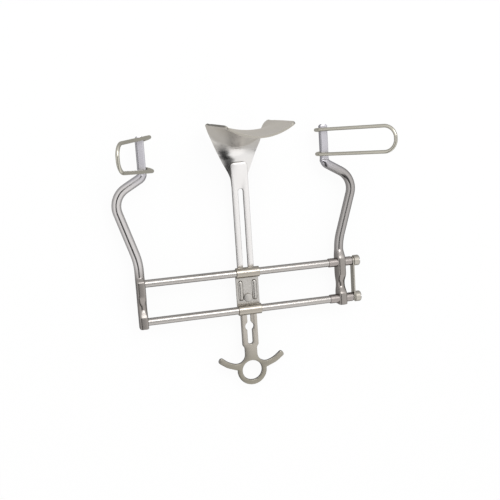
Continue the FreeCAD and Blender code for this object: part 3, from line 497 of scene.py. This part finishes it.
right_wire = wire_blade("right_wire_loop", 1, 22.6, 6.6, 4.0, 45.0, ARM_OPENING - TONGUE_OFFSET)
stands_for(right_wire, "right_wire_blade", "right_blade", wire_steel)

# Slide plate. One pressed sheet whose two edges are rolled round the rods, with two long beads pressed
# forward beside the clamp bolt. It is satin, and warmer than the rods.

SLIDE_X = 98.5
PLATE_HALF_WIDTH = 11.0
SHEET_HALF = 0.65
ROLL_MIDDLE = 4.21
BEAD_X = 6.6
BEAD_HALF_LENGTH = 7.3
BEAD_HALF_WIDTH = 2.25
BEAD_HEIGHT = 1.4


def rolled_sheet():
    """The sheet's middle line in side view: round the lower rod from its rolled edge, up the web and round the
    upper rod."""
    turn = np.radians(np.linspace(-42, 270, 90))
    upper = np.stack([UPPER_ROD_Y - ROLL_MIDDLE * np.cos(turn), ROLL_MIDDLE * np.sin(turn)], 1)
    lower = np.stack([LOWER_ROD_Y + ROLL_MIDDLE * np.cos(turn), ROLL_MIDDLE * np.sin(turn)], 1)
    web = np.stack([np.linspace(LOWER_ROD_Y, UPPER_ROD_Y, 160)[1:-1], np.full(158, -ROLL_MIDDLE)], 1)
    return np.concatenate([lower, web, upper[::-1]])


side_line = rolled_sheet()
heading = np.gradient(side_line, axis=0)
heading /= np.linalg.norm(heading, axis=1)[:, None]
outwards = np.stack([heading[:, 1], -heading[:, 0]], 1)
across = np.linspace(-1, 1, 91)
rim = np.sqrt(np.clip(1 - np.clip((np.abs(across) - 0.965) / 0.035, 0, 1) ** 2, 0.0, 1))
width = across * PLATE_HALF_WIDTH
web_share = np.abs(side_line[:, 1] + ROLL_MIDDLE) < 0.01
middle_y = (LOWER_ROD_Y + UPPER_ROD_Y) / 2
beyond = np.maximum(np.abs(side_line[:, 0] - middle_y) - BEAD_HALF_LENGTH, 0)
from_bead = np.hypot(np.abs(width)[None] - BEAD_X, beyond[:, None])
bead = BEAD_HEIGHT * np.sqrt(np.clip(1 - (from_bead / BEAD_HALF_WIDTH) ** 2, 0, 1)) * web_share[:, None]
layers = []
for face in (1, -1):
    offset = SHEET_HALF * face * rim[None] - bead
    yz = side_line[:, None] + outwards[:, None] * offset[..., None]
    layers.append(np.stack([np.broadcast_to(SLIDE_X + width, offset.shape), yz[..., 0], yz[..., 1]], 2))
slide_plate = skin("rolled_slide_plate", np.concatenate([layers[0], layers[1][:, ::-1]], 1))
satin_steel = steel("satin_steel", (0.64, 0.62, 0.59), (0.40, 0.385, 0.36), 0.33, 0.07, (1100, 1100), 0.0001,
                    (0.42, 0.42, 0.41), 600.0)
satin_steel_painted_shade = satin_steel.copy()
satin_steel_painted_shade.name = "satin_steel_painted_shade"
# Painted shade: the front halves of the rolled edges are given a darker, warmer colour; they are also smoother.
finish_and_painted_shade_from(satin_steel_painted_shade, "Z", 0.0, -0.0028, (0.40, 0.37, 0.325), 0.24)
stands_for(slide_plate, "slide_plate", "slide", satin_steel_painted_shade)

# Clamp bolt and wing nut. The bolt's flat round head lies on the slide plate, its stem passes through the
# shaft's slot, and the wing nut draws the three together from behind.

BOLT_Y = 16.6
NUT_FRONT = -8.06
clamp_bolt = turned("clamp_bolt_turned", [
    (-15.26, 0), (-15.26, 2.0), (-14.9, 2.3), (-3.56, 2.3), (-3.56, 3.7), (-3.36, 3.9), (-2.1, 3.9),
    (-1.75, 3.6), (-1.62, 2.6), (-1.55, 0),
], (SLIDE_X, BOLT_Y, 0), "z", columns=72)
stands_for(clamp_bolt, "clamp_bolt", "slide", satin_steel)

hub = turned("wing_nut_turned", [
    (0, 2.36), (0, 3.5), (-0.3, 3.8), (-4.4, 3.6), (-5.3, 3.2), (-5.6, 2.8), (-5.6, 2.36), (0, 2.36),
], (SLIDE_X, BOLT_Y, NUT_FRONT), "z")
edge_on = Matrix(((0, 0, 1, SLIDE_X), (1, 0, 0, BOLT_Y), (0, 1, 0, NUT_FRONT), (0, 0, 0, 1)))
for side, label in ((1, "far"), (-1, "near")):
    wing = bent_line([
        (side * 2.6, -1.9, 0.2), (side * 9.6, -2.2, 3.4), (side * 12.0, -9.6, 2.6), (side * 6.0, -9.6, 2.2),
        (side * 4.4, -4.9, 0.8), (side * 2.6, -4.6, 0.2),
    ])
    leaf = plate(f"wing_nut_{label}_wing", [wing[::-side]], 2.4, 0.7, edge_on)
    stands_for(leaf, "wing_nut", "nut", trim_steel)
stands_for(hub, "wing_nut", "nut", trim_steel)

# Shaft of the centre blade. A flat forged strip with a long slot and a keyhole, that ends in a finger ring
# with a horn on each side. Its rounded edges are ground rougher than its faces, and painted much darker:
# painted shade for the dark outline along them.

SHAFT_FRONT = -4.96
SHAFT_THICKNESS = 3.0
SHAFT_TOP = 141.9
SHAFT_HALF = 7.75
RING_Y = -54.4
RING_OUTER = 14.1
RING_INNER = 9.5
SLOT_HALF = 2.4
SLOT_TOP = 115.5
SLOT_BOTTOM = -26.5
KEYHOLE_Y = -11.7
KEYHOLE_RADIUS = 4.15
KEYHOLE_CORNER = 35.3515
KEYHOLE_TOP = -8.4


def arc(radius, y, start, end, count=24):
    """Points round (0, y) in millimetres, from one angle to another in degrees, counted from +X towards +Y."""
    turn = np.radians(np.linspace(start, end, count))
    return np.stack([radius * np.cos(turn), y + radius * np.sin(turn)], 1)


right_half = [
    (SHAFT_HALF, SHAFT_TOP, 3.2), (SHAFT_HALF, -29.5, 1.6), (5.9, -32.5, 2.4), (5.9, -50.15, 8.2),
    (21.86, -44.65, 22.0), (29.45, -38.45, 2.25), (32.6, -43.15, 2.25), (24.2, -49.35, 22.0), (13.9, -53.2, 1.2),
]
left_half = [(-x, y, r) for x, y, r in reversed(right_half)]
ring_arc = [(x, y, 0) for x, y in arc(RING_OUTER, RING_Y, -5, -175, 80)]
whole = bent_line(right_half + ring_arc + left_half)
slot_hole = np.concatenate([
    arc(SLOT_HALF, SLOT_TOP, 0, 180),
    [(-SLOT_HALF, KEYHOLE_TOP)],
    arc(KEYHOLE_RADIUS, KEYHOLE_Y, 90 + KEYHOLE_CORNER, 270 - KEYHOLE_CORNER),
    arc(SLOT_HALF, SLOT_BOTTOM, 180, 360),
    arc(KEYHOLE_RADIUS, KEYHOLE_Y, KEYHOLE_CORNER - 90, 90 - KEYHOLE_CORNER),
    [(SLOT_HALF, KEYHOLE_TOP)],
])
finger_hole = arc(RING_INNER, RING_Y, 0, 360, 121)[:-1]
lying = Matrix(((1, 0, 0, SLIDE_X), (0, 1, 0, 0), (0, 0, 1, SHAFT_FRONT - SHAFT_THICKNESS / 2), (0, 0, 0, 1)))
shaft = plate("blade_shaft_forging", [whole, slot_hole, finger_hole], SHAFT_THICKNESS, 0.6, lying)
forged_steel = steel("forged_steel", (0.81, 0.795, 0.79), (0.77, 0.755, 0.745), 0.22, 0.02, (30, 700), 0.000003,
                     (0.95, 0.95, 0.95))
# Towards its lower end the strip passes to a darker, warmer colour, and darker still at the finger ring.
finish_and_painted_shade_from(forged_steel, "Y", -0.01, 0.05, (0.46, 0.43, 0.385), 0.26)
finish_and_painted_shade_from(forged_steel, "Y", -0.055, -0.02, (0.32, 0.30, 0.25), 0.30)
stands_for(shaft, "blade_shaft", "centre_blade", forged_steel)
# Painted shade: the rounded edges, picked by their sideways normals, get a dark colour for the dark outline along
# them.
edge_steel = steel("shaft_edge_painted_shade", (0.30, 0.285, 0.28), (0.25, 0.24, 0.23), 0.3, 0.02, (300, 300), 0.000003,
                   (0.35, 0.35, 0.35))
shaft.data.materials.append(edge_steel)
normals = np.zeros(len(shaft.data.polygons) * 3)
shaft.data.polygons.foreach_get("normal", normals)
shaft.data.polygons.foreach_set("material_index", (np.abs(normals[2::3]) < 0.8).astype(int))

# Saddle of the centre blade. A polished sheet brazed behind the shaft's end: it bends forward, flares and
# arches to a wide lip, with a wing raised along each side. Its cut rim is satin, like the small fittings.

SHEET = 1.8
NECK_Z = -9.02
NECK_BEND = 18.0
NECK_LENGTH = 21.8
NECK_HALF = 7.3
FLARE = 22.1
BEND_TURN = np.radians(60)
ARCH_TURN = np.radians(51)
ARCH_RADIUS = 90.0
WING_EDGE_Y = 177.5
WING_EDGE_FALL = 0.04


def smooth_through(stations, count):
    """Every column of a table of stations read at many even places between them, on the natural cubic
    curve through the stations."""
    stations = np.asarray(stations, float)
    number = len(stations)
    bands = np.eye(number)
    inner = np.arange(1, number - 1)
    bands[inner, inner] = 4
    bands[inner, inner - 1] = 1
    bands[inner, inner + 1] = 1
    bends = np.zeros_like(stations)
    bends[1:-1] = 6 * (stations[2:] - 2 * stations[1:-1] + stations[:-2])
    bends = np.linalg.solve(bands, bends)
    place = np.linspace(0, number - 1, count)
    at = np.minimum(place.astype(int), number - 2)
    b = (place - at)[:, None]
    a = 1 - b
    return a * stations[at] + b * stations[at + 1] + ((a ** 3 - a) * bends[at] + (b ** 3 - b) * bends[at + 1]) / 6


def saddle_stations():
    """Rows of (y, z, turn, half width, rise): the sheet's centre line runs up the neck, round the forward bend
    and along the arch, and each strip across it is an arc that rises at both ends to the wings' straight edge."""
    centre_z = NECK_Z + NECK_BEND
    arch_y = SHAFT_TOP + (NECK_BEND - ARCH_RADIUS) * np.sin(BEND_TURN)
    arch_z = centre_z - (NECK_BEND - ARCH_RADIUS) * np.cos(BEND_TURN)

    def wing(turn):
        slope = np.sin(turn) - WING_EDGE_FALL * np.cos(turn)
        return (WING_EDGE_Y - WING_EDGE_FALL * arch_z - arch_y) / slope - ARCH_RADIUS

    corner = wing(BEND_TURN)
    rows = []
    for share, widening, lift in ((0, 0, 0.01), (1 / 3, 0.025, 0.02), (2 / 3, 0.145, 0.055)):
        rows.append((SHAFT_TOP - NECK_LENGTH * (1 - share), NECK_Z, 0, NECK_HALF + FLARE * widening,
                     corner * lift))
    for share, widening, lift in ((0, 0.3, 0.105), (1 / 3, 0.44, 0.17), (2 / 3, 0.6, 0.28), (5 / 6, 0.71, 0.45),
                                  (1, 0.84, 0.74)):
        turn = BEND_TURN * share
        rows.append((SHAFT_TOP + NECK_BEND * np.sin(turn), centre_z - NECK_BEND * np.cos(turn), turn,
                     NECK_HALF + FLARE * widening, corner * lift))
    for step in range(1, 11):
        turn = BEND_TURN + ARCH_TURN * step / 10
        rows.append((arch_y + ARCH_RADIUS * np.sin(turn), arch_z - ARCH_RADIUS * np.cos(turn), turn,
                     NECK_HALF + FLARE * (0.96 + 0.004 * step), wing(turn)))
    return rows


LIP_CORNER = 3.4
LIP_HALF = NECK_HALF + FLARE
SADDLE_LENGTH = 136.0
ALONG = 180


def saddle_sheet(name):
    """Two parameters: along the centre line and across it. Across, a point lies on the strip's arc, whose bend
    radius is (half width squared + rise squared) / (2 rise); the columns crowd towards both edges, and the
    lip's outline is trimmed back at its corners."""
    rows = smooth_through(saddle_stations(), ALONG + 1)
    crowding = np.pi / 2 * 0.96
    across = np.sin(np.linspace(-1, 1, 71) * crowding) / np.sin(crowding)
    past_corner = np.clip(np.abs(across) * LIP_HALF - (LIP_HALF - LIP_CORNER), 0, LIP_CORNER)
    back = LIP_CORNER - np.sqrt(LIP_CORNER ** 2 - past_corner ** 2)
    trimmed = 1 - (1.9 + back + 1.4 * np.abs(across) ** 2) / SADDLE_LENGTH
    at = np.arange(ALONG + 1.0)[:, None] * trimmed[None]
    low = np.minimum(at.astype(int), ALONG - 1)
    share = (at - low)[..., None]
    table = rows[low] * (1 - share) + rows[low + 1] * share
    y, z, turn, half, rise = np.moveaxis(table, 2, 0)
    bend = (half ** 2 + rise ** 2) / (2 * rise)
    spread = np.arcsin(np.clip(half / bend, -1, 1)) * across[None]
    sideways = bend * np.sin(spread)
    lift = bend * (1 - np.cos(spread))
    grid = np.stack([SLIDE_X + sideways, y + lift * np.sin(turn), z - lift * np.cos(turn)], 2)
    piece = skin(name, grid, wrapped=False, capped=False, sharp=60)
    wall = piece.modifiers.new("wall", "SOLIDIFY")
    wall.thickness = SHEET * 0.001
    wall.offset = 0
    wall.use_even_offset = True
    wall.material_offset_rim = 1
    edges = piece.modifiers.new("edges", "BEVEL")
    edges.width = 0.0006
    edges.segments = 3
    edges.limit_method = "ANGLE"
    edges.angle_limit = np.radians(50)
    return piece


polished_steel = steel("polished_steel", (0.76, 0.75, 0.74), (0.72, 0.705, 0.69), 0.2, 0.015, (60, 500), 0.000002,
                       (0.90, 0.86, 0.79))
# Towards the lip the sheet is rougher, and a little darker and warmer.
finish_and_painted_shade_from(polished_steel, "Y", 0.158, 0.149, (0.74, 0.715, 0.68), 0.42)
saddle = saddle_sheet("saddle_polished_sheet")
stands_for(saddle, "saddle_blade", "centre_blade", polished_steel)
saddle.data.materials.append(trim_steel)

# The stage: a floor that the camera sees as white, a bright tent with dark openings that the steel mirrors
# as dark streaks, one soft lamp overhead, and the camera of the photograph.

FLOOR_HALF = 4.0
CAMERA_SHARE = 0.93
FOCAL_LENGTH = 770.588
PICTURE_WIDTH = 500
SENSOR = 36.0

floor_z = cad_box[0][2] - 0.0002
floor_mesh = bpy.data.meshes.new("floor")
floor_mesh.from_pydata([(x * FLOOR_HALF, y * FLOOR_HALF, floor_z) for x, y in ((-1, -1), (1, -1), (1, 1), (-1, 1))],
                       [], [(0, 1, 2, 3)])
floor = bpy.data.objects.new("floor", floor_mesh)
bpy.context.scene.collection.objects.link(floor)
pale = bpy.data.materials.new("pale_floor")
pale.use_nodes = True
nodes, links = pale.node_tree.nodes, pale.node_tree.links
matt = nodes["Principled BSDF"]
matt.inputs["Base Color"].default_value = (0.93, 0.93, 0.93, 1)
matt.inputs["Roughness"].default_value = 0.9
glow = nodes.new("ShaderNodeEmission")
glow.inputs["Color"].default_value = (1, 1, 1, 1)
ray = nodes.new("ShaderNodeLightPath")
seen = nodes.new("ShaderNodeMath")
seen.operation = "MULTIPLY_ADD"
seen.inputs[1].default_value = CAMERA_SHARE
links.new(ray.outputs["Is Camera Ray"], seen.inputs[0])
links.new(ray.outputs["Is Glossy Ray"], seen.inputs[2])
spot = nodes.new("ShaderNodeTexCoord")
split = nodes.new("ShaderNodeSeparateXYZ")
links.new(spot.outputs["Object"], split.inputs["Vector"])
forward = nodes.new("ShaderNodeMapRange")
forward.interpolation_type = "SMOOTHSTEP"
for label, value in (("From Min", -0.40), ("From Max", 0.02), ("To Min", 0.04), ("To Max", -0.37)):
    forward.inputs[label].default_value = value
links.new(split.outputs["Y"], forward.inputs["Value"])
mirrored = nodes.new("ShaderNodeMath")
mirrored.operation = "MULTIPLY_ADD"
mirrored.inputs[2].default_value = 1.0
links.new(ray.outputs["Is Glossy Ray"], mirrored.inputs[0])
links.new(forward.outputs["Result"], mirrored.inputs[1])
links.new(mirrored.outputs[0], glow.inputs["Strength"])
blend = nodes.new("ShaderNodeMixShader")
links.new(seen.outputs[0], blend.inputs[0])
links.new(matt.outputs[0], blend.inputs[1])
links.new(glow.outputs[0], blend.inputs[2])
links.new(blend.outputs[0], nodes["Material Output"].inputs["Surface"])
floor_mesh.materials.append(pale)

world = bpy.data.worlds.new("studio")
bpy.context.scene.world = world
world.use_nodes = True
nodes, links = world.node_tree.nodes, world.node_tree.links
sky = nodes["Background"]
sky.inputs["Color"].default_value = (1.0, 0.995, 0.99, 1)


def tent_share(direction, near, far, near_value, far_value):
    """A light level that passes smoothly from one value to another with the angle from a direction."""
    angle = nodes.new("ShaderNodeVectorMath")
    angle.operation = "DOT_PRODUCT"
    angle.inputs[1].default_value = direction
    links.new(nodes["tent_place"].outputs["Generated"], angle.inputs[0])
    level = nodes.new("ShaderNodeMapRange")
    level.interpolation_type = "SMOOTHSTEP"
    for label, value in (("From Min", near), ("From Max", far), ("To Min", near_value), ("To Max", far_value)):
        level.inputs[label].default_value = value
    links.new(angle.outputs["Value"], level.inputs["Value"])
    return level.outputs["Result"]


nodes.new("ShaderNodeTexCoord").name = "tent_place"
# Each share: a direction, the cosines of the angles from it at which the level starts and ends to change,
# and the level outside and inside. The first opening leaves room for the photograph's camera; the other four
# stand in a row that the saddle's left side mirrors.
overhead = tent_share((0, 0, 1), -0.1, 0.6, 0.72, 1.1)
front = tent_share((0.1, -0.91, 0.40), 0.78, 0.94, 0.0, 1.25)
openings = [tent_share((-0.19, 0.12, 0.975), 0.950, 0.988, 1.0, 0.0),
            tent_share((-0.36, -0.90, 0.22), 0.955, 0.985, 1.0, 0.05),
            tent_share((-0.38, -0.80, 0.46), 0.945, 0.98, 1.0, 0.02),
            tent_share((-0.34, -0.52, 0.785), 0.945, 0.98, 1.0, 0.02),
            tent_share((-0.22, -0.27, 0.937), 0.935, 0.98, 1.0, 0.10)]
level = nodes.new("ShaderNodeMath")
level.operation = "MAXIMUM"
links.new(overhead, level.inputs[0])
links.new(front, level.inputs[1])
for opening in openings:
    dimmed = nodes.new("ShaderNodeMath")
    dimmed.operation = "MULTIPLY"
    links.new(level.outputs[0], dimmed.inputs[0])
    links.new(opening, dimmed.inputs[1])
    level = dimmed
ray = nodes.new("ShaderNodeLightPath")
shown = nodes.new("ShaderNodeMath")
shown.operation = "MAXIMUM"
links.new(level.outputs[0], shown.inputs[0])
links.new(ray.outputs["Is Camera Ray"], shown.inputs[1])
links.new(shown.outputs[0], sky.inputs["Strength"])


def lamp(name, place, target, size, power):
    """A soft square lamp that faces a point."""
    data = bpy.data.lights.new(name, "AREA")
    data.size = size
    data.energy = power
    holder = bpy.data.objects.new(name, data)
    bpy.context.scene.collection.objects.link(holder)
    away = np.asarray(place, float) - np.asarray(target, float)
    away /= np.linalg.norm(away)
    side = np.cross([0.0, 1.0, 0.0], away)
    side /= np.linalg.norm(side)
    over = np.cross(away, side)
    holder.matrix_world = Matrix(((side[0], over[0], away[0], place[0]), (side[1], over[1], away[1], place[1]),
                                  (side[2], over[2], away[2], place[2]), (0, 0, 0, 1)))


lamp("top_lamp", (0.25, 0.55, 0.9), (0.1, 0.06, 0), 0.5, 3.0)

camera_data = bpy.data.cameras.new("camera")
camera_data.sensor_width = SENSOR
camera_data.lens = FOCAL_LENGTH / PICTURE_WIDTH * SENSOR
camera_data.clip_start = 0.01
camera_data.clip_end = 20.0
camera = bpy.data.objects.new("camera", camera_data)
bpy.context.scene.collection.objects.link(camera)
camera.matrix_world = Matrix((
    (0.9647, 0.1024, -0.2428, -0.0695), (-0.0645, 0.9851, 0.1593, 0.1741), (0.2555, -0.1380, 0.9569, 0.6774),
    (0, 0, 0, 1),
))
bpy.context.scene.camera = camera
bpy.context.scene.view_settings.view_transform = "Standard"
